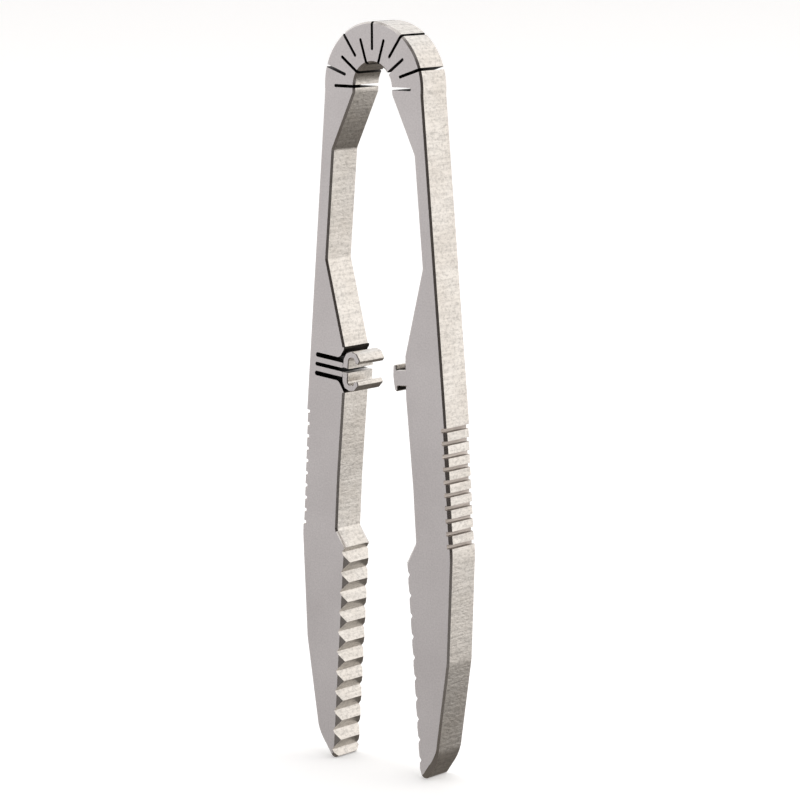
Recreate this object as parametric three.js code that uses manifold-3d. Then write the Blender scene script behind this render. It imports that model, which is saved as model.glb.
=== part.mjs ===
// Sprung titanium pocket tongs, cut from one flat plate: a slotted half-round spring head,
// two mirror-image arms with finger grooves and toothed jaws, and a snap catch half way down.
// Units are millimetres. X runs across the arms, Y through the plate (front face at -Y), Z up.
// The plate is shaped whole, then divided where the metal bends, so each member is one solid.
import * as THREE from 'three';
import { mergeVertices } from 'three/addons/utils/BufferGeometryUtils.js';
import Module from 'manifold-3d';

const wasm = await Module();
wasm.setup();

// ---- driving dimensions -------------------------------------------------------------------
const plate = { thickness: 4.8, chamfer: 0.25 };
const seam = 0.06;              // clearance between neighbouring members of the one-piece plate
const head = {
  z: 86.52,                     // height of the head's centre above the jaw tips
  inner: 3.0,                   // radius of the bore side
  outer: 8.1,                   // radius of the rim
  hubRadius: 4.57,              // inner ends of the slots that start at the rim
  rimRadius: 6.29,              // outer ends of the slots that start at the bore
  kerf: 0.44,                   // slot width
  pitch: 18,                    // degrees between neighbouring slots
};
const arm = {
  tilt: 4.83,                   // degrees that each arm leans outwards when open
  shoulder: [3.05, -0.8], waistTop: [6.62, -8.05], waistEnd: [7.85, -21.9],
  boss: [4.95, -33.0], bossEnd: [5.05, -38.2], grip: [6.14, -49.4], rampTop: [6.58, -56.4],
  gripOuter: [11.54, -40.3], widest: [12.62, -57.5], taper: [11.97, -71.1],
  tipOuter: [10.0, -83.75], tipEnd: [7.45, -87.4],
};
const teeth = {
  crest: [4.75, -59.17],         // where the crest line starts
  slope: 0.075,                 // outward run of the crest line for each mm downwards
  end: -85.3, pitch: 2.62, depth: 0.9, chamfer: 0.62,
  firstLeft: -57.86, firstRight: -59.17, valleysLeft: 11, valleysRight: 10,
};
const grooves = { count: 10, first: -41.65, pitch: 1.607, width: 0.56, depth: 0.68 };
const snap = {
  centre: [7.25, -35.51],       // middle of the centre slot, on the left arm
  rootEnd: -2.58, leafRoot: -2.3, leafEnd: 1.95,
  leafInner: 0.25, leafOuter: 0.9, slotOuter: 1.5,
  wall: 2.75, reach: 4.75, top: 2.52, roof: 1.78, barbBack: 4.05, mouth: 1.17,
};
const stud = { face: 4.13, flange: 3.5, halfFlange: 1.65, halfNeck: 1.02, root: 2.1 };

// ---- helpers ------------------------------------------------------------------------------
const rad = THREE.MathUtils.degToRad;
const polar = (r, deg) => [r * Math.cos(rad(deg)), r * Math.sin(rad(deg))];

function arc(cx, cz, r, from, to, step = 9) {
  const n = Math.max(1, Math.ceil(Math.abs(to - from) / step));
  const points = [];
  for (let i = 0; i <= n; i += 1) {
    const a = rad(from + ((to - from) * i) / n);
    points.push([cx + r * Math.cos(a), cz + r * Math.sin(a)]);
  }
  return points;
}

// Replaces each corner [x, z, radius] of a polyline by a tangent arc.
function rounded(corners, step = 15, closed = true) {
  const points = [];
  const n = corners.length;
  corners.forEach(([x, z, r], i) => {
    if (!r || (!closed && (i === 0 || i === n - 1))) {
      points.push([x, z]);
      return;
    }
    const corner = new THREE.Vector2(x, z);
    const a = new THREE.Vector2(...corners[(i + n - 1) % n].slice(0, 2)).sub(corner).normalize();
    const b = new THREE.Vector2(...corners[(i + 1) % n].slice(0, 2)).sub(corner).normalize();
    const half = Math.acos(THREE.MathUtils.clamp(a.dot(b), -1, 1)) / 2;
    const centre = a.clone().add(b).normalize().multiplyScalar(r / Math.sin(half)).add(corner);
    const start = a.clone().multiplyScalar(r / Math.tan(half)).add(corner).sub(centre);
    const end = b.clone().multiplyScalar(r / Math.tan(half)).add(corner).sub(centre);
    const from = THREE.MathUtils.radToDeg(start.angle());
    let sweep = THREE.MathUtils.radToDeg(end.angle()) - from;
    if (sweep > 180) sweep -= 360;
    if (sweep < -180) sweep += 360;
    points.push(...arc(centre.x, centre.y, r, from, from + sweep, step));
  });
  return points;
}

// A plate standing in the XZ plane: the outline is drawn in X and Z and extruded through Y.
function slab(points, depth, bevel = 0) {
  const shape = new THREE.Shape(points.map(([x, z]) => new THREE.Vector2(x, z + head.z)));
  const geometry = new THREE.ExtrudeGeometry(shape, {
    depth: depth - 2 * bevel, steps: 1, curveSegments: 1, bevelEnabled: bevel > 0,
    bevelThickness: bevel, bevelSize: bevel, bevelOffset: -bevel, bevelSegments: 1,
  });
  geometry.translate(0, 0, bevel - depth / 2);
  geometry.rotateX(Math.PI / 2);
  return geometry;
}

function toSolid(geometry) {
  const g = geometry.clone();
  g.deleteAttribute('normal');
  g.deleteAttribute('uv');
  const m = mergeVertices(g, 1e-5);
  return new wasm.Manifold(new wasm.Mesh({
    numProp: 3,
    vertProperties: new Float32Array(m.attributes.position.array),
    triVerts: new Uint32Array(m.index.array),
  }));
}

function toGeometry(solid) {
  const mesh = solid.getMesh();
  const g = new THREE.BufferGeometry();
  g.setAttribute('position', new THREE.BufferAttribute(new Float32Array(mesh.vertProperties), 3));
  g.setIndex(new THREE.BufferAttribute(new Uint32Array(mesh.triVerts), 1));
  g.computeVertexNormals();
  return g;
}

const through = plate.thickness + 2;
const cutter = (points) => toSolid(slab(points, through));
const mirror = (points, side) => points.map(([x, z]) => [side * x, z]);

// ---- the whole plate ----------------------------------------------------------------------
// One arm's edge from the bore side of the head, round the jaw tip, up to the rim.
const crestX = (z) => teeth.crest[0] + teeth.slope * (teeth.crest[1] - z);
const armEdge = rounded([
  [...arm.shoulder, 1.5],
  [...arm.waistTop, 1.2],
  [...arm.waistEnd, 1.0],
  [...arm.boss, 0.8],
  [...arm.bossEnd, 0.8],
  [...arm.grip, 20],
  [...arm.rampTop, 0.7],
  [...teeth.crest, 0],
  [crestX(teeth.end), teeth.end, 0],
  [...arm.tipEnd, 0.75],
  [...arm.tipOuter, 1.3],
  [...arm.taper, 8],
  [...arm.widest, 30],
  [...arm.gripOuter, 20],
  [...polar(head.outer, -arm.tilt), 0],
], 12, false);
const outline = [
  ...armEdge,
  ...arc(0, 0, head.outer, 0, 180, 6),
  ...mirror(armEdge, -1).reverse(),
  ...arc(0, 0, head.inner, 180, 0, 12),
];
const body = toSolid(slab(outline, plate.thickness, plate.chamfer));

// Slots: five run in from the rim and six run out from the bore, with round blind ends.
function slot(angle, fromRim) {
  const half = head.kerf / 2;
  const points = fromRim
    ? [...arc(head.hubRadius + half, 0, half, 90, 270, 45),
      [head.outer + 1, -half], [head.outer + 1, half]]
    : [...arc(head.rimRadius - half, 0, half, -90, 90, 45),
      [head.inner - 1, half], [head.inner - 1, -half]];
  const c = Math.cos(rad(angle));
  const s = Math.sin(rad(angle));
  return cutter(points.map(([x, z]) => [x * c - z * s, x * s + z * c]));
}
const cuts = [];
for (let i = 0; i <= 10; i += 1) cuts.push(slot(i * head.pitch, i % 2 === 1));

// Finger grooves across the outer edge, nearly square to it.
const outerX = (z) => {
  const [x0, z0] = arm.gripOuter;
  const [x1, z1] = arm.widest;
  return x0 + ((x1 - x0) * (z0 - z)) / (z0 - z1);
};
function groove(z, side) {
  const x = outerX(z) - grooves.depth;
  const w = grooves.width / 2;
  const rise = 0.2;
  const points = rounded([[x, z + w, 0.12], [x, z - w, 0.12],
    [x + 3, z - w + rise], [x + 3, z + w + rise]], 45);
  return cutter(mirror(points, side));
}

// Jaw teeth: a V valley between two crests. The left row sits half a pitch higher, so that
// the crests of one jaw close into the valleys of the other.
function valley(top, side) {
  const low = top - teeth.pitch;
  const mid = (top + low) / 2;
  const bottom = crestX(mid) + teeth.depth;
  const points = [[crestX(low) - 1, low], [crestX(low), low], [bottom, mid - 0.06],
    [bottom, mid + 0.06], [crestX(top), top], [crestX(top) - 1, top]];
  return cutter(mirror(points, side));
}

// The wide chamfer along both edges of a toothed flank.
function jawChamfer(side, face) {
  const y = plate.thickness / 2;
  const w = teeth.chamfer;
  const over = 1;
  const wedge = [[-over, y - w - over], [w + over, y + over], [-over, y + over]];
  const shape = new THREE.Shape(wedge.map(([u, v]) => new THREE.Vector2(side * u, face * v)));
  const low = teeth.end - 3;
  const g = new THREE.ExtrudeGeometry(shape, {
    depth: teeth.crest[1] + 0.5 - low, steps: 1, bevelEnabled: false,
  });
  g.rotateY(-side * Math.atan(teeth.slope));
  g.translate(side * crestX(low), 0, low + head.z);
  return toSolid(g);
}

for (const side of [1, -1]) {
  for (let i = 0; i < grooves.count; i += 1) {
    cuts.push(groove(grooves.first - i * grooves.pitch, side));
  }
  const first = side > 0 ? teeth.firstRight : teeth.firstLeft;
  const count = side > 0 ? teeth.valleysRight : teeth.valleysLeft;
  for (let i = 0; i < count; i += 1) cuts.push(valley(first - i * teeth.pitch, side));
  cuts.push(jawChamfer(side, 1));
  cuts.push(jawChamfer(side, -1));
}

// ---- the snap catch -----------------------------------------------------------------------
// Catch outlines are drawn square to the arm: p runs inwards, q runs up the arm.
function onArm(points, side) {
  const c = Math.cos(rad(arm.tilt));
  const s = Math.sin(rad(arm.tilt));
  const [x0, z0] = snap.centre;
  return points.map(([p, q]) => [side * (x0 - p * c - q * s), z0 - p * s + q * c]);
}
const flip = (points, up) => points.map(([p, q]) => [p, up * q]);

// Pocket in the left arm: three slots with round ends, flared where they meet the bore side.
const finger = (q0, q1) => {
  const half = (q1 - q0) / 2;
  return [...arc(snap.rootEnd - 0.1 + half, (q0 + q1) / 2, half, 90, 270, 45),
    [snap.wall, q0], [snap.wall, q1]];
};
const pocket = rounded([
  [snap.leafRoot, -snap.slotOuter], [1.35, -snap.slotOuter, 0.7], [2.02, -2.75, 0.5],
  [4.5, -3.2], [4.5, 3.2], [2.02, 2.75, 0.5], [1.35, snap.slotOuter, 0.7],
  [snap.leafRoot, snap.slotOuter],
], 15);
cuts.push(cutter(onArm(pocket, -1)));
cuts.push(cutter(onArm(finger(snap.leafOuter, snap.slotOuter), -1)));
cuts.push(cutter(onArm(finger(-snap.leafInner, snap.leafInner), -1)));
cuts.push(cutter(onArm(finger(-snap.slotOuter, -snap.leafOuter), -1)));

// Flat seat on the right arm, where the stud's neck rises from the edge.
const seat = stud.halfNeck + seam;
cuts.push(cutter(onArm([[stud.root, -seat], [4, -seat], [4, seat], [stud.root, seat]], 1)));

let cut = body;
for (const c of cuts) cut = cut.subtract(c);

// ---- members ------------------------------------------------------------------------------
const group = new THREE.Group();
const titanium = { color: 0xb9b4b2, roughness: 0.42, metalness: 1.0 };
const cutEdge = { color: 0xd8d2ca, roughness: 0.55, metalness: 1.0 };
function add(name, geometry, look) {
  const mesh = new THREE.Mesh(geometry, new THREE.MeshStandardMaterial(look));
  mesh.name = name;
  group.add(mesh);
}
const member = (name, region, look = titanium) => {
  add(name, toGeometry(cut.intersect(cutter(region))), look);
};
const sector = (r0, r1, from, to) => [...arc(0, 0, r0, to, from, 6), ...arc(0, 0, r1, from, to, 6)];
const { inner, outer, hubRadius, rimRadius, pitch } = head;

// Inner blocks, each round the blind end of a slot from the rim.
[18, 54, 90, 126, 162].forEach((a, i) => {
  member(`head_hub_${i + 1}`, sector(inner - 1, hubRadius - seam / 2, a - pitch, a + pitch));
});
// Outer blocks, each round the blind end of a slot from the bore.
[36, 72, 108, 144].forEach((a, i) => {
  member(`head_rim_${i + 1}`, sector(rimRadius + seam / 2, outer + 1, a - pitch, a + pitch));
});
// Spring leaves, one between each pair of neighbouring slots.
for (let i = 0; i < 10; i += 1) {
  const a = (i + 0.5) * pitch;
  member(`head_leaf_${i + 1}`,
    sector(hubRadius + seam / 2, rimRadius - seam / 2, a - pitch / 2, a + pitch / 2));
}

// Arms, each with the outer block beside the head's first or last slot.
const armRegion = [[0.4, 0], ...arc(0, 0, rimRadius + seam / 2, 0, pitch, 6),
  polar(outer + 1, pitch), [20, 2], [20, -100], [0.4, -100]];
member('arm_right', armRegion);
member('arm_left', mirror(armRegion, -1));

// Two sprung leaves on the left arm, each carrying a barbed hook.
const hook = [
  [snap.leafEnd + seam, snap.leafInner], [snap.wall, snap.leafInner],
  [snap.wall, snap.roof, 0.3], [snap.barbBack, snap.roof, 0.3],
  [snap.barbBack, snap.mouth + 0.1, 0.1], [snap.reach - 0.25, snap.mouth, 0.15],
  [snap.reach, 1.62, 0.3], [3.85, snap.top, 0.45], [2.55, snap.top, 0.75],
  [2.1, 1.5, 0.4], [snap.leafEnd + seam, snap.leafOuter],
];
for (const [name, up] of [['upper', 1], ['lower', -1]]) {
  const leaf = [[snap.leafRoot + seam, snap.leafInner], [snap.leafEnd, snap.leafInner],
    [snap.leafEnd, snap.leafOuter], [snap.leafRoot + seam, snap.leafOuter]];
  add(`catch_leaf_${name}`, slab(onArm(flip(leaf, up), -1), plate.thickness), cutEdge);
  add(`catch_hook_${name}`, slab(onArm(flip(rounded(hook), up), -1), plate.thickness), cutEdge);
}

// Mushroom-headed stud on the right arm.
const { face, flange, halfFlange, halfNeck } = stud;
const studOutline = rounded([
  [stud.root + seam, -halfNeck], [flange, -halfNeck, 0.1], [flange, -halfFlange, 0.1],
  [face - 0.2, -halfFlange, 0.25], [face, -0.4, 1.2], [face, 0.4, 1.2],
  [face - 0.2, halfFlange, 0.25], [flange, halfFlange, 0.1], [flange, halfNeck, 0.1],
  [stud.root + seam, halfNeck],
]);
add('catch_stud', slab(onArm(studOutline, 1), plate.thickness), cutEdge);

export default group;
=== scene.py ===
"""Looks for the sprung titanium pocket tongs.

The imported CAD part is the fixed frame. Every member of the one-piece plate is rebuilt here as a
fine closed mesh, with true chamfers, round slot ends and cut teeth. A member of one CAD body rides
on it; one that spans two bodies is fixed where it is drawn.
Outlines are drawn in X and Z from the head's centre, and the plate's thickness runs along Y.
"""

import math

import bpy
from mathutils import Matrix, Vector


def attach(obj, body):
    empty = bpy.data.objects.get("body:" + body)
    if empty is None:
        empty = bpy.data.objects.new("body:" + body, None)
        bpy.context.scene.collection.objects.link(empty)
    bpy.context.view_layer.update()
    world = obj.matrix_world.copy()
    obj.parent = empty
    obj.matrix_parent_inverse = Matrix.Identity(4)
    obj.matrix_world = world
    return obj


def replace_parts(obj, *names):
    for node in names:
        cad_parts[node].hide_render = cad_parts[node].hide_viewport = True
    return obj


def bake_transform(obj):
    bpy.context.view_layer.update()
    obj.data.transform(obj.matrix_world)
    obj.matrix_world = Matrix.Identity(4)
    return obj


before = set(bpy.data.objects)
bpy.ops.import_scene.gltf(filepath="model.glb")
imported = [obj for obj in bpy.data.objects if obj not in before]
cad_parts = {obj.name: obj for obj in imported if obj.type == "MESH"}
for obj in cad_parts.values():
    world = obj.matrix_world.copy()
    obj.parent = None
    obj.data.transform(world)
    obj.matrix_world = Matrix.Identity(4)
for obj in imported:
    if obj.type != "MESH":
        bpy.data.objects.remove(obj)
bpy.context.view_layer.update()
scene = bpy.context.scene

# ---- dimensions, in millimetres -----------------------------------------------------------
# These are the CAD part's, but for slightly narrower slots, a few wider chamfers, rounder jaw
# tips and thicker hooks.
THICK = 4.8
CHAMFER, RIDGE_CHAMFER, TIP_CHAMFER, CATCH_CHAMFER = 0.25, 0.38, 0.6, 0.1
HEAD_Z = 86.52  # the head's centre above the jaw tips
BORE, RIM, HUB_R, RIM_R = 3.0, 8.09, 4.57, 6.29
HALF_KERF = 0.195
PITCH = 18.0
TILT = 4.83  # degrees that each arm leans outwards
SHOULDER, WAIST_TOP, WAIST_END = (3.05, -0.8), (6.62, -8.05), (7.85, -21.9)
BOSS, BOSS_END, GRIP, RAMP = (4.95, -33.0), (5.05, -38.2), (6.14, -49.4), (6.58, -56.4)
GRIP_OUT, WIDEST, TAPER = (11.54, -40.3), (12.56, -57.5), (11.97, -71.1)
TIP_OUT, TIP_END, TIP_OUT_R, TIP_END_R = (10.0, -83.75), (7.45, -87.4), 6, 0.75
CREST_X, CREST_Z, CREST_SLOPE = 4.75, -59.17, 0.075
TOOTH_PITCH, TOOTH_DEPTH, TOOTH_CHAMFER, TEETH_END = 2.62, 0.9, 0.62, -85.3
FIRST_TOOTH, VALLEYS = {1: -59.17, -1: -57.86}, {1: 10, -1: 11}
LEFT_TOP_CREST, LEFT_LAST_CREST, LEFT_LAST_FRONT = (5.18, -58.52), (7.06, -86.27), (7.5, -85.95)
GROOVES, GROOVE_Z, GROOVE_PITCH, GROOVE_W, GROOVE_D = 10, -41.65, 1.607, 0.56, 0.68
GROOVE_R, GROOVE_LIP = 0.12, 0.045
CATCH = (7.25, -35.51)  # middle of the centre slot, from which the catch is drawn
SLOT_IN, SLOT_OUT = 0.9, 1.5
LEAF_ROOT, LEAF_END, LEAF_IN, LEAF_OUT = -2.3, 1.95, 0.25, 0.9
WALL, REACH, TOP, ROOF, BARB_BACK, MOUTH = 2.86, 4.75, 2.52, 1.72, 3.9, 1.17
SEAT, FACE_P, FLANGE, HALF_FLANGE, HALF_NECK = 1.9, 4.13, 3.5, 1.65, 1.02

SHARP = math.radians(24)


# ---- outline helpers ----------------------------------------------------------------------
def arc(cx, cz, r, a0, a1, step=3.0):
    n = max(1, math.ceil(abs(a1 - a0) / step))
    return [
        (
            cx + r * math.cos(math.radians(a0 + (a1 - a0) * i / n)),
            cz + r * math.sin(math.radians(a0 + (a1 - a0) * i / n)),
        )
        for i in range(n + 1)
    ]


def polar(r, a):
    return (r * math.cos(math.radians(a)), r * math.sin(math.radians(a)))


def corner(before, at, after, r, step=7.5):
    """The points of the tangent arc of radius r that rounds the corner at `at`."""
    p, a, b = Vector(at), Vector(before), Vector(after)
    u, v = (a - p).normalized(), (b - p).normalized()
    half = math.acos(max(-1, min(1, u.dot(v)))) / 2
    centre = p + (u + v).normalized() * (r / math.sin(half))
    s = p + u * (r / math.tan(half)) - centre
    e = p + v * (r / math.tan(half)) - centre
    a0 = math.degrees(math.atan2(s.y, s.x))
    sweep = math.degrees(math.atan2(e.y, e.x)) - a0
    sweep = (sweep + 180) % 360 - 180
    return arc(centre.x, centre.y, r, a0, a0 + sweep, step)


def rounded(corners, closed=True, step=7.5):
    """Corners (x, z, radius) as points, with the radii as arcs."""
    out, n = [], len(corners)
    for i, c in enumerate(corners):
        r = c[2] if len(c) > 2 else 0
        if not r or (not closed and i in (0, n - 1)):
            out.append((c[0], c[1]))
        else:
            out += corner(corners[i - 1][:2], c[:2], corners[(i + 1) % n][:2], r, step)
    return out


# KERF walls get the slot wall's painted shade, RECESS walls the groove wall's painted shade.
FACE, EDGE, CHAMFERED, KERF, RECESS = range(5)


class Outline:
    """A closed outline, built point by point, with the chamfer and the look of the wall after
    each point."""

    def __init__(self):
        self.pts, self.cut, self.front, self.deep, self.wall = [], [], [], [], []

    def add(self, points, chamfer=0.0, front=None, deep=None, wall=EDGE):
        for p in points:
            if self.pts and math.dist(self.pts[-1], p) < 1e-4:
                self.cut[-1], self.wall[-1] = chamfer, wall
                continue
            self.pts.append(tuple(p))
            self.cut.append(chamfer)
            self.front.append(front)
            self.deep.append(deep)
            self.wall.append(wall)
        return self

    def then(self, chamfer=0.0, wall=EDGE):
        """Changes the wall that follows the last point."""
        self.cut[-1], self.wall[-1] = chamfer, wall

    def mirrored(self):
        o = Outline()
        n = len(self.pts)
        for i in range(n - 1, -1, -1):
            o.pts.append((-self.pts[i][0], self.pts[i][1]))
            f = self.front[i]
            o.front.append(None if f is None else (-f[0], f[1]))
            o.deep.append(self.deep[i])
            o.cut.append(self.cut[i - 1])
            o.wall.append(self.wall[i - 1])
        return o


def offset_corner(prev, p, nxt, d0, d1):
    """Where the edges either side of p meet after moving inwards by d0 and d1 (CCW outline)."""
    p, a, b = Vector(p), Vector(prev), Vector(nxt)
    e0, e1 = (p - a).normalized(), (b - p).normalized()
    n0, n1 = Vector((-e0.y, e0.x)), Vector((-e1.y, e1.x))
    det = e0.x * e1.y - e0.y * e1.x
    if d0 != d1 and abs(det) < 0.35:
        return p + (n0 * d0 if d0 > d1 else n1 * d1)
    if abs(det) < 0.03:
        return p + (n0 + n1).normalized() * d0
    q0, q1 = p + n0 * d0, p + n1 * d1
    t = ((q1 - q0).x * e1.y - (q1 - q0).y * e1.x) / det
    return q0 + e0 * t


def plate(name, outline, body, looks):
    """A closed plate from an outline: two broad faces, chamfers, and the cut edge."""
    pts, cut = list(outline.pts), list(outline.cut)
    front, deep, wall = list(outline.front), list(outline.deep), list(outline.wall)
    n = len(pts)
    area = sum(
        pts[i][0] * pts[(i + 1) % n][1] - pts[(i + 1) % n][0] * pts[i][1] for i in range(n)
    )
    if area < 0:
        pts.reverse()
        front.reverse()
        deep.reverse()
        cut = [cut[(n - 2 - i) % n] for i in range(n)]
        wall = [wall[(n - 2 - i) % n] for i in range(n)]
    verts, rings, inner = [], [], []
    half = THICK / 2
    for i in range(n):
        if front[i] is not None:
            inner.append(front[i])
        elif cut[i - 1] or cut[i]:
            q = offset_corner(pts[i - 1], pts[i], pts[(i + 1) % n], cut[i - 1], cut[i])
            inner.append((q.x, q.y))
        else:
            inner.append(pts[i])
    depth = [deep[i] or max(cut[i - 1], cut[i]) or CHAMFER for i in range(n)]
    for shape, y in (
        (inner, [-half] * n),
        (pts, [d - half for d in depth]),
        (pts, [half - d for d in depth]),
        (inner, [half] * n),
    ):
        rings.append(len(verts))
        verts += [(x / 1000, yy / 1000, (z + HEAD_Z) / 1000) for (x, z), yy in zip(shape, y)]
    faces = [[rings[0] + i for i in range(n)], [rings[3] + i for i in range(n - 1, -1, -1)]]
    kinds = [FACE, FACE]
    moved = [math.dist(inner[i], pts[i]) > 1e-6 for i in range(n)]
    for i in range(n):
        j = (i + 1) % n
        tooth = deep[i] is not None and deep[j] is not None
        for k in range(3):
            a, b = rings[k], rings[k + 1]
            quad = (a + j, a + i, b + i, b + j)
            if k != 1 and tooth and moved[i] != moved[j]:
                # a cut-back crest: the facet and the chamfer meet along one diagonal
                crest = {a + i, b + i} if moved[i] else {a + j, b + j}
                if moved[i] == (k == 0):
                    halves = (quad[:3], (quad[0], quad[2], quad[3]))
                else:
                    halves = ((quad[0], quad[1], quad[3]), quad[1:])
                for half_quad in halves:
                    faces.append(half_quad)
                    kinds.append(CHAMFERED if crest <= set(half_quad) else EDGE)
                continue
            faces.append(quad)
            kinds.append(CHAMFERED if k != 1 and cut[i] else wall[i])
    mesh = bpy.data.meshes.new(name)
    mesh.from_pydata(verts, [], faces)
    mesh.polygons.foreach_set("use_smooth", [True] * len(faces))
    for material in looks:
        mesh.materials.append(material)
    mesh.polygons.foreach_set("material_index", kinds)
    mesh.update()
    mesh.validate()
    mesh.set_sharp_from_angle(angle=SHARP)
    obj = bpy.data.objects.new(name, mesh)
    scene.collection.objects.link(obj)
    if isinstance(body, str):
        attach(obj, body)
    else:
        a, b, start, end = body
        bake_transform(obj)
    return obj


# ---- materials ----------------------------------------------------------------------------
def new_material(name, roughness):
    """A plain metal whose textures lie in the object's own coordinates."""
    material = bpy.data.materials.new(name)
    material.use_nodes = True
    nodes, links = material.node_tree.nodes, material.node_tree.links
    shader = nodes["Principled BSDF"]
    shader.inputs["Metallic"].default_value = 1.0
    shader.inputs["Roughness"].default_value = roughness
    place = nodes.new("ShaderNodeTexCoord")
    return material, nodes, links, shader, place


def noise(nodes, links, place, size_mm, stretch=(1, 1, 1), detail=3.0, rough=0.6):
    """Noise with features of about size_mm, drawn out along an axis where stretch is over 1."""
    mapping = nodes.new("ShaderNodeMapping")
    mapping.inputs["Scale"].default_value = [1 / s for s in stretch]
    links.new(place.outputs["Object"], mapping.inputs["Vector"])
    texture = nodes.new("ShaderNodeTexNoise")
    texture.inputs["Scale"].default_value = 1000 / size_mm
    texture.inputs["Detail"].default_value = detail
    texture.inputs["Roughness"].default_value = rough
    links.new(mapping.outputs["Vector"], texture.inputs["Vector"])
    return texture.outputs["Fac"]


def ramp(nodes, links, value, stops):
    node = nodes.new("ShaderNodeValToRGB")
    while len(node.color_ramp.elements) < len(stops):
        node.color_ramp.elements.new(0.5)
    for element, (position, colour) in zip(node.color_ramp.elements, stops):
        element.position = position
        element.color = (*colour, 1)
    links.new(value, node.inputs["Fac"])
    return node.outputs["Color"]


def multiply(nodes, links, a, b):
    node = nodes.new("ShaderNodeMix")
    node.data_type = "RGBA"
    node.blend_type = "MULTIPLY"
    node.inputs["Factor"].default_value = 1.0
    links.new(a, node.inputs["A"])
    links.new(b, node.inputs["B"])
    return node.outputs["Result"]


def bumps(nodes, links, shader, layers):
    """Stacked bumps: each layer is a height, its strength and its depth in micrometres."""
    normal = None
    for height, strength, depth_um in layers:
        node = nodes.new("ShaderNodeBump")
        node.inputs["Strength"].default_value = strength
        node.inputs["Distance"].default_value = depth_um * 1e-6
        links.new(height, node.inputs["Height"])
        if normal is not None:
            links.new(normal, node.inputs["Normal"])
        normal = node.outputs["Normal"]
    links.new(normal, shader.inputs["Normal"])


def grey(level):
    return (level, level, level)


def satin_face():
    """Broad faces: bead-blasted titanium, an even pinkish grey with a very fine tooth."""
    material, nodes, links, shader, place = new_material("satin_face", 0.46)
    cloud = noise(nodes, links, place, 9.0, detail=2.0)
    grain = noise(nodes, links, place, 0.22, detail=2.0)
    tint = ramp(nodes, links, cloud, [(0.3, (0.66, 0.625, 0.62)), (0.7, (0.72, 0.685, 0.68))])
    specks = ramp(nodes, links, grain, [(0.3, grey(0.86)), (0.7, grey(1.0))])
    links.new(multiply(nodes, links, tint, specks), shader.inputs["Base Color"])
    bumps(nodes, links, shader, [(grain, 0.4, 16)])
    return material


def wire_cut():
    """Cut edges: fine lines across the thickness, a recast grain and tiny bright flecks."""
    material, nodes, links, shader, place = new_material("wire_cut_edge", 0.32)
    lines = noise(nodes, links, place, 0.34, (1, 14, 1), detail=2.0)
    grain = noise(nodes, links, place, 0.36, (1, 1.5, 1), detail=3.0, rough=0.75)
    cloud = noise(nodes, links, place, 5.0, detail=2.0)
    tint = ramp(nodes, links, cloud, [(0.3, (0.80, 0.76, 0.71)), (0.7, (0.86, 0.83, 0.79))])
    streaks = ramp(nodes, links, lines, [(0.34, grey(0.84)), (0.6, grey(1.0))])
    flecks = ramp(nodes, links, grain, [(0.32, grey(0.70)), (0.55, grey(1.0))])
    shaded = multiply(nodes, links, multiply(nodes, links, tint, streaks), flecks)
    links.new(shaded, shader.inputs["Base Color"])
    bumps(nodes, links, shader, [(lines, 0.5, 22), (grain, 0.8, 42)])
    return material


def cut_chamfer():
    """Chamfers: milled smooth, brighter and glossier than the faces they border."""
    material, nodes, links, shader, place = new_material("milled_chamfer", 0.24)
    wear = noise(nodes, links, place, 1.4, detail=3.0)
    tint = ramp(nodes, links, wear, [(0.3, (0.66, 0.62, 0.59)), (0.7, (0.78, 0.75, 0.73))])
    links.new(tint, shader.inputs["Base Color"])
    bumps(nodes, links, shader, [(noise(nodes, links, place, 0.5, (1, 3, 1)), 0.2, 8)])
    return material


def painted_shade_wall(name, dark, light):
    """Walls of narrow cuts and recesses in painted shade: a dark base colour for the shade inside
    them.
    """
    material, nodes, links, shader, place = new_material(name, 0.5)
    lines = noise(nodes, links, place, 0.34, (1, 14, 1), detail=2.0)
    links.new(ramp(nodes, links, lines, [(0.32, dark), (0.66, light)]), shader.inputs["Base Color"])
    bumps(nodes, links, shader, [(lines, 0.5, 20)])
    return material


LOOKS = (
    satin_face(),
    wire_cut(),
    cut_chamfer(),
    # slot walls: near-black painted shade for the dark inside the narrow slots
    painted_shade_wall("slot_wall_painted_shade", (0.016, 0.014, 0.012), (0.05, 0.043, 0.037)),
    # finger-groove walls: painted shade, darker than the open cut edges
    painted_shade_wall("groove_wall_painted_shade", (0.46, 0.42, 0.39), (0.72, 0.67, 0.63)),
)


# ---- the spring head ----------------------------------------------------------------------
def turned(point, angle):
    """A point given along and across the ray at that angle."""
    c, s = math.cos(math.radians(angle)), math.sin(math.radians(angle))
    return (point[0] * c - point[1] * s, point[0] * s + point[1] * c)


def slot_half_angle(r):
    return math.degrees(math.asin(HALF_KERF / r))


RIM_END, HUB_END = RIM_R - HALF_KERF, HUB_R + HALF_KERF


def hub(index, angle, body):
    """An inner block between two slots that run out from the bore."""
    o = Outline()
    a = PITCH - slot_half_angle(BORE)
    o.add(arc(0, 0, BORE, angle - a, angle + a), CHAMFER)
    b = PITCH - slot_half_angle(HUB_R)
    o.then(0, KERF)
    o.add(arc(0, 0, HUB_R, angle + b, angle) + arc(0, 0, HUB_R, angle, angle - b))
    o.then(0, KERF)
    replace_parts(plate(f"hub_{index}", o, body, LOOKS), f"head_hub_{index}")


def rim(index, angle, body):
    """An outer block between two slots that run in from the rim."""
    o = Outline()
    a, b = PITCH - slot_half_angle(RIM), PITCH - slot_half_angle(RIM_R)
    o.add(arc(0, 0, RIM, angle - a, angle + a, 2.0), CHAMFER)
    o.then(0, KERF)
    o.add(arc(0, 0, RIM_R, angle + b, angle) + arc(0, 0, RIM_R, angle, angle - b))
    o.then(0, KERF)
    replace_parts(plate(f"rim_{index}", o, body, LOOKS), f"head_rim_{index}")


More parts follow.
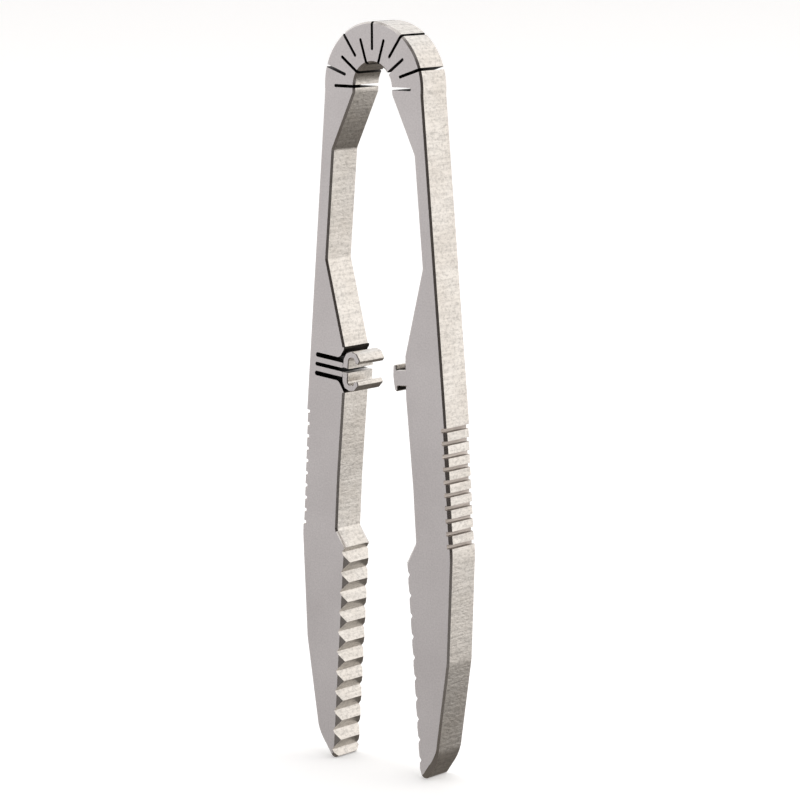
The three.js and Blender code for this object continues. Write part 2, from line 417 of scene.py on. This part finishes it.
def leaf(index, body):
    """A thin spring leaf between a slot from the bore and its neighbour from the rim."""
    first = (index - 1) * PITCH
    bore_slot, rim_slot = (first, first + PITCH) if index % 2 else (first + PITCH, first)
    s = 1 if rim_slot > bore_slot else -1
    steps = [HUB_R + (RIM_END - HUB_R) * i / 5 for i in range(1, 6)]
    o = Outline()
    o.add([turned((math.sqrt(HUB_R**2 - HALF_KERF**2), s * HALF_KERF), bore_slot)], wall=KERF)
    o.add([turned((r, s * HALF_KERF), bore_slot) for r in steps], wall=KERF)
    o.add([turned((RIM_END + x, s * z), bore_slot) for x, z in arc(0, 0, HALF_KERF, 90, 0, 18)],
          wall=KERF)
    o.add(arc(0, 0, RIM_R, bore_slot, rim_slot - s * slot_half_angle(RIM_R)))
    o.then(0, KERF)
    steps = [RIM_R - (RIM_R - HUB_END) * i / 5 for i in range(1, 6)]
    o.add([turned((r, -s * HALF_KERF), rim_slot) for r in steps], wall=KERF)
    o.add([turned((HUB_END - x, -s * z), rim_slot) for x, z in arc(0, 0, HALF_KERF, 90, 0, 18)],
          wall=KERF)
    o.add(arc(0, 0, HUB_R, rim_slot, bore_slot + s * slot_half_angle(HUB_R)))
    o.then(0, KERF)
    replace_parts(plate(f"leaf_{index}", o, body, LOOKS), f"head_leaf_{index}")


def at(x, z):
    """A point of the plate's middle plane, in metres, in the frame."""
    return (x / 1000, 0, (z + HEAD_Z) / 1000)


# ---- the arms -----------------------------------------------------------------------------
def crest_x(z):
    return CREST_X + CREST_SLOPE * (CREST_Z - z)


def add_grooves(o):
    """The finger grooves, downwards along the outer edge."""
    for i in range(GROOVES):
        z = GROOVE_Z - i * GROOVE_PITCH
        (x0, z0), (x1, z1) = GRIP_OUT, WIDEST
        edge = x0 + (x1 - x0) * (z0 - z) / (z0 - z1)
        half = GROOVE_W / 2
        low, high = (edge - GROOVE_D, z - half), (edge - GROOVE_D, z + half)
        o.add([(edge, high[1] + GROOVE_LIP)], wall=RECESS)
        o.add(corner((edge, high[1]), high, low, GROOVE_R, 30), wall=RECESS)
        o.add(corner(high, low, (edge, low[1]), GROOVE_R, 30), wall=RECESS)
        o.add([(edge, low[1] + GROOVE_LIP)], CHAMFER if i == GROOVES - 1 else RIDGE_CHAMFER)


def add_teeth(o, side, lowest, highest, lowest_front=None):
    """The toothed flank, upwards from the lowest crest to the highest."""
    first, count = FIRST_TOOTH[side], VALLEYS[side]
    heights = [first - i * TOOTH_PITCH for i in range(count + 1)]
    crests = [(crest_x(z), z) for z in heights]
    crests[0] = highest
    crests[-1] = lowest

    def below(p):
        return p[0] - crest_x(p[1])

    def clip(valley, crest):
        t = (below(valley) - TOOTH_CHAMFER) / (below(valley) - below(crest))
        return (valley[0] + (crest[0] - valley[0]) * t, valley[1] + (crest[1] - valley[1]) * t)

    def cut_back(p):
        return (crest_x(p[1]) + TOOTH_CHAMFER, p[1])

    o.add([crests[-1]], 0, lowest_front or cut_back(crests[-1]), TOOTH_CHAMFER)
    for i in range(count - 1, -1, -1):
        z = first - (i + 0.5) * TOOTH_PITCH
        valley = (crest_x(z) + TOOTH_DEPTH, z)
        for p in (clip(valley, crests[i + 1]), valley, clip(valley, crests[i])):
            o.add([p], 0, p, TOOTH_CHAMFER)
        o.add([crests[i]], 0, cut_back(crests[i]), TOOTH_CHAMFER)
    o.then(CHAMFER)


def on_arm(points):
    """Catch coordinates, p inwards and q up the arm, on the right-hand side."""
    c, s = math.cos(math.radians(TILT)), math.sin(math.radians(TILT))
    return [(CATCH[0] - p * c - q * s, CATCH[1] - p * s + q * c) for p, q in points]


def add_tip(o, toothed_end, last_z=0.0):
    """The rounded jaw tip, from the taper to the end of the teeth. Its chamfer grows downwards."""
    outer = corner(TAPER, TIP_OUT, TIP_END, TIP_OUT_R, 2.5)
    for i, p in enumerate(outer):
        o.add([p], CHAMFER + (TIP_CHAMFER - CHAMFER) * i / len(outer))
    end = corner(TIP_OUT, TIP_END, toothed_end, TIP_END_R)
    o.add([p for p in end if p[1] < last_z or p[0] > TIP_END[0]], TIP_CHAMFER)


def arm(side):
    """One arm with the outer block beside it, as a right-hand outline."""
    o = Outline()
    o.add(arc(0, 0, RIM_R, 0, PITCH - slot_half_angle(RIM_R)))
    o.then(0, KERF)
    o.add(arc(0, 0, RIM, PITCH - slot_half_angle(RIM), -TILT, 2.0), CHAMFER)
    o.add(corner(polar(RIM, -TILT), GRIP_OUT, WIDEST, 20, 1.0), CHAMFER)
    add_grooves(o)
    o.add(corner(GRIP_OUT, WIDEST, TAPER, 18, 1.0), CHAMFER)
    o.add(corner(WIDEST, TAPER, TIP_OUT, 8, 2.5), CHAMFER)
    end = (crest_x(TEETH_END), TEETH_END)
    if side > 0:
        add_tip(o, end)
        low_z = FIRST_TOOTH[side] - VALLEYS[side] * TOOTH_PITCH
        add_teeth(o, side, (crest_x(low_z), low_z), (CREST_X, CREST_Z))
    else:
        add_tip(o, end, LEFT_LAST_CREST[1])
        add_teeth(o, side, LEFT_LAST_CREST, LEFT_TOP_CREST, LEFT_LAST_FRONT)
    o.add(corner((CREST_X, CREST_Z), RAMP, GRIP, 0.7), CHAMFER)
    o.add(corner(RAMP, GRIP, BOSS_END, 20, 1.0), CHAMFER)
    if side > 0:
        o.add(corner(GRIP, BOSS_END, BOSS, 0.8), CHAMFER)
        seat = [(2.323, -HALF_NECK), (SEAT, -HALF_NECK), (SEAT, HALF_NECK), (2.19, HALF_NECK)]
        o.add(on_arm(seat))
        o.then(CHAMFER)
        o.add(corner(BOSS_END, BOSS, WAIST_END, 0.8), CHAMFER)
    else:
        add_pocket(o)
    o.add(corner(BOSS, WAIST_END, WAIST_TOP, 1.0), CHAMFER)
    o.add(corner(WAIST_END, WAIST_TOP, SHOULDER, 1.2), CHAMFER)
    o.add([SHOULDER], CHAMFER)
    o.add([(BORE + 0.014, -HALF_KERF)], wall=KERF)
    o.add(arc(RIM_END, 0, HALF_KERF, -90, 0, 18)[:-1], wall=KERF)
    return o


def add_pocket(o):
    """The three-fingered pocket that the catch leaves stand in."""
    grip, waist = (2.276, -13.75), (-2.28, 13.49)
    lower = [(*grip, 0), (2.36, -2.78, 0.4), (1.35, -SLOT_OUT, 0.7), (LEAF_ROOT, -SLOT_OUT, 0)]
    upper = [(LEAF_ROOT, SLOT_OUT, 0), (1.35, SLOT_OUT, 0.7), (2.05, 2.72, 0.5), (*waist, 0)]
    side = (SLOT_OUT - SLOT_IN) / 2
    mid = (SLOT_OUT + SLOT_IN) / 2
    points = rounded(lower, closed=False)[1:-1]
    points += arc(LEAF_ROOT - 0.08, -mid, side, 270, 90, 18)
    points += [(LEAF_ROOT, -SLOT_IN), (LEAF_ROOT, -LEAF_IN)]
    points += arc(LEAF_ROOT - 0.13, 0, LEAF_IN, 270, 90, 18)
    points += [(LEAF_ROOT, LEAF_IN), (LEAF_ROOT, SLOT_IN)]
    points += arc(LEAF_ROOT - 0.08, mid, side, 270, 90, 18)
    o.add(on_arm(points), wall=KERF)
    o.add(on_arm(rounded(upper, closed=False)[1:-1]), wall=KERF)
    o.then(CHAMFER)


# ---- the snap catch -----------------------------------------------------------------------
def catch_leaf(name, up, body):
    """A thin leaf along the arm's pocket, from its root to the hook."""
    count = 10
    along = [LEAF_ROOT + (LEAF_END - LEAF_ROOT) * i / count for i in range(count + 1)]
    points = [(p, up * LEAF_IN) for p in along] + [(p, up * LEAF_OUT) for p in reversed(along)]
    o = Outline().add(on_arm(points), wall=KERF).mirrored()
    middle = up * (LEAF_IN + LEAF_OUT) / 2
    (x0, z0), (x1, z1) = on_arm([(LEAF_ROOT, middle), (LEAF_END, middle)])
    span = ("arm_left_body", body, at(-x0, z0), at(-x1, z1))
    piece = plate(f"snap_leaf_{name}", o, span, LOOKS)
    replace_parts(piece, f"catch_leaf_{name}")


def catch_hook(name, up, body):
    """The barbed hook on the end of a leaf."""
    outside = [
        (BARB_BACK, MOUTH + 0.05, 0.1), (REACH - 0.3, MOUTH - 0.1, 0.15), (REACH, 1.55, 0.3),
        (4.1, 2.4, 0.5), (3.3, TOP + 0.05, 0.8), (2.4, 2.3, 0.6), (1.98, 1.45, 0.5),
        (LEAF_END, LEAF_OUT),
    ]
    inside = [(LEAF_END, LEAF_IN), (WALL, LEAF_IN), (WALL, ROOF, 0.45), (BARB_BACK, ROOF, 0.4)]
    o = Outline()
    for p, q in rounded([*inside, *outside]):
        o.add(on_arm([(p, up * q)]), CATCH_CHAMFER)
    o.then(0, KERF)
    piece = plate(f"snap_hook_{name}", o.mirrored(), body, LOOKS)
    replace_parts(piece, f"catch_hook_{name}")


def stud():
    """The mushroom-headed stud that the hooks snap over."""
    shape = [
        (SEAT, -HALF_NECK), (FLANGE, -HALF_NECK, 0.1), (FLANGE, -HALF_FLANGE, 0.1),
        (FACE_P - 0.15, -HALF_FLANGE, 0.32), (FACE_P, -0.4, 1.2), (FACE_P, 0.4, 1.2),
        (FACE_P - 0.15, HALF_FLANGE, 0.32), (FLANGE, HALF_FLANGE, 0.1),
        (FLANGE, HALF_NECK, 0.1), (SEAT, HALF_NECK),
    ]
    o = Outline()
    for p, q in rounded(shape):
        # the walls under the flange get the slot wall's painted shade
        under = p < FLANGE + 0.02 and abs(q) < HALF_FLANGE - 0.12
        o.add(on_arm([(p, q)]), CATCH_CHAMFER, wall=KERF if under else EDGE)
    o.then(0)
    piece = plate("snap_stud", o, "arm_right_body", LOOKS)
    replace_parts(piece, "catch_stud")


# ---- assembly -----------------------------------------------------------------------------
RIGHT, CENTRE, LEFT = "arm_right_body", "head_centre", "arm_left_body"
for number, where in enumerate((RIGHT, CENTRE, CENTRE, CENTRE, LEFT), start=1):
    hub(number, (2 * number - 1) * PITCH, where)
for number, where in enumerate((RIGHT, CENTRE, CENTRE, LEFT), start=1):
    rim(number, 2 * number * PITCH, where)
for number in range(1, 11):
    middle_angle = (number - 0.5) * PITCH
    where = RIGHT if number < 3 else LEFT if number > 8 else CENTRE
    if number in (3, 8):
        moving = RIGHT if number == 3 else LEFT
        where = (CENTRE, moving, at(*polar(HUB_R, middle_angle)), at(*polar(RIM_R, middle_angle)))
    leaf(number, where)
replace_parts(plate("tong_arm_right", arm(1), RIGHT, LOOKS), "arm_right")
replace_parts(plate("tong_arm_left", arm(-1).mirrored(), LEFT, LOOKS), "arm_left")
for word, sign in (("upper", 1), ("lower", -1)):
    catch_leaf(word, sign, f"hook_{word}_body")
    catch_hook(word, sign, f"hook_{word}_body")
stud()


# ---- floor --------------------------------------------------------------------------------
def pale_floor():
    material = bpy.data.materials.new("studio_floor")
    material.use_nodes = True
    shader = material.node_tree.nodes["Principled BSDF"]
    shader.inputs["Base Color"].default_value = (0.92, 0.92, 0.92, 1)
    shader.inputs["Roughness"].default_value = 0.9
    shader.inputs["Specular IOR Level"].default_value = 0.1
    shader.inputs["Emission Color"].default_value = (1, 1, 1, 1)
    shader.inputs["Emission Strength"].default_value = 0.28
    mesh = bpy.data.meshes.new("floor")
    rings, steps = (0.0, 0.4, 1.5, 6.0), 48
    verts = [(0, 0, 0)]
    for r in rings[1:]:
        verts += [(r * math.cos(2 * math.pi * i / steps), r * math.sin(2 * math.pi * i / steps), 0)
                  for i in range(steps)]
    faces = [(0, 1 + i, 1 + (i + 1) % steps) for i in range(steps)]
    for k in range(len(rings) - 2):
        a, b = 1 + k * steps, 1 + (k + 1) * steps
        faces += [(a + i, b + i, b + (i + 1) % steps, a + (i + 1) % steps) for i in range(steps)]
    mesh.from_pydata(verts, [], faces)
    mesh.materials.append(material)
    obj = bpy.data.objects.new("floor", mesh)
    scene.collection.objects.link(obj)
    obj.visible_glossy = False


pale_floor()


# ---- studio -------------------------------------------------------------------------------
def direction(azimuth, elevation):
    """Unit vector towards a compass azimuth (0 is +Y behind the tool, 90 is +X)."""
    a, e = math.radians(azimuth), math.radians(elevation)
    return (math.sin(a) * math.cos(e), math.cos(a) * math.cos(e), math.sin(e))


def studio_world():
    """A soft white studio with a brighter ceiling, a warm panel behind on the right, a dark
    floor, and two black flags in front, one on the right and one overhead."""
    world = bpy.data.worlds.new("studio")
    scene.world = world
    world.use_nodes = True
    nodes, links = world.node_tree.nodes, world.node_tree.links
    background = nodes["Background"]
    way = nodes.new("ShaderNodeTexCoord").outputs["Generated"]

    def zone(towards, inner_deg, outer_deg):
        """1 within inner_deg of a direction, falling to 0 at outer_deg."""
        dot = nodes.new("ShaderNodeVectorMath")
        dot.operation = "DOT_PRODUCT"
        links.new(way, dot.inputs[0])
        dot.inputs[1].default_value = towards
        step = nodes.new("ShaderNodeMapRange")
        step.interpolation_type = "SMOOTHSTEP"
        step.inputs["From Min"].default_value = math.cos(math.radians(outer_deg))
        step.inputs["From Max"].default_value = math.cos(math.radians(inner_deg))
        links.new(dot.outputs["Value"], step.inputs["Value"])
        return step.outputs["Result"]

    def over(base, factor, colour):
        mix = nodes.new("ShaderNodeMix")
        mix.data_type = "RGBA"
        links.new(factor, mix.inputs["Factor"])
        if isinstance(base, tuple):
            mix.inputs["A"].default_value = base
        else:
            links.new(base, mix.inputs["A"])
        mix.inputs["B"].default_value = (*colour, 1)
        return mix.outputs["Result"]

    light = (1.0, 0.985, 0.985, 1)
    light = over(light, zone((0, 0, 1), 35, 75), (1.05, 1.04, 1.03))
    light = over(light, zone(direction(42, 8), 26, 52), (1.2, 1.16, 1.12))
    light = over(light, zone((0, 0, -1), 60, 82), (0.15, 0.135, 0.12))
    light = over(light, zone(direction(139, 10), 22, 40), (0.05, 0.042, 0.038))
    light = over(light, zone(direction(188, 60), 26, 42), (0.1, 0.09, 0.085))
    seen = nodes.new("ShaderNodeLightPath").outputs["Is Camera Ray"]
    light = over(light, seen, (0.95, 0.95, 0.95))
    links.new(light, background.inputs["Color"])
    background.inputs["Strength"].default_value = 1.0


studio_world()


def soft_panel(name, azimuth, elevation, distance, size, power, colour):
    lamp = bpy.data.lights.new(name, "AREA")
    lamp.shape = "DISK"
    lamp.size = size
    lamp.energy = power
    lamp.color = colour
    obj = bpy.data.objects.new(name, lamp)
    scene.collection.objects.link(obj)
    towards = Vector(direction(azimuth, elevation))
    middle = Vector((0, 0, HEAD_Z / 2000))
    obj.location = middle + towards * distance
    obj.rotation_euler = towards.to_track_quat("Z", "Y").to_euler()


soft_panel("ceiling", 0, 85, 1.2, 1.4, 5.0, (1, 0.99, 0.98))


# ---- camera -------------------------------------------------------------------------------
CAMERA_AZIMUTH, CAMERA_ELEVATION, CAMERA_ROLL = 41.52, 9.47, -0.37
CAMERA_DISTANCE, FOCAL_PX, PICTURE_PX, SENSOR = 0.410, 3281.8, 800.0, 36.0
TARGET = Vector((0, -0.0024, 0.047565))


def studio_camera():
    data = bpy.data.cameras.new("camera")
    data.sensor_width = SENSOR
    data.lens = SENSOR * FOCAL_PX / PICTURE_PX
    data.shift_x = 0.0322
    data.clip_start, data.clip_end = 0.02, 20
    obj = bpy.data.objects.new("camera", data)
    scene.collection.objects.link(obj)
    a, e, roll = (math.radians(v) for v in (CAMERA_AZIMUTH, CAMERA_ELEVATION, CAMERA_ROLL))
    back = Vector((math.sin(a) * math.cos(e), -math.cos(a) * math.cos(e), math.sin(e)))
    right = Vector((math.cos(a), math.sin(a), 0))
    up = back.cross(right)
    right, up = (
        math.cos(roll) * right + math.sin(roll) * up,
        -math.sin(roll) * right + math.cos(roll) * up,
    )
    turn = Matrix((right, up, back)).transposed().to_4x4()
    obj.matrix_world = Matrix.Translation(TARGET + CAMERA_DISTANCE * back) @ turn
    scene.camera = obj


studio_camera()
scene.view_settings.view_transform = "Standard"
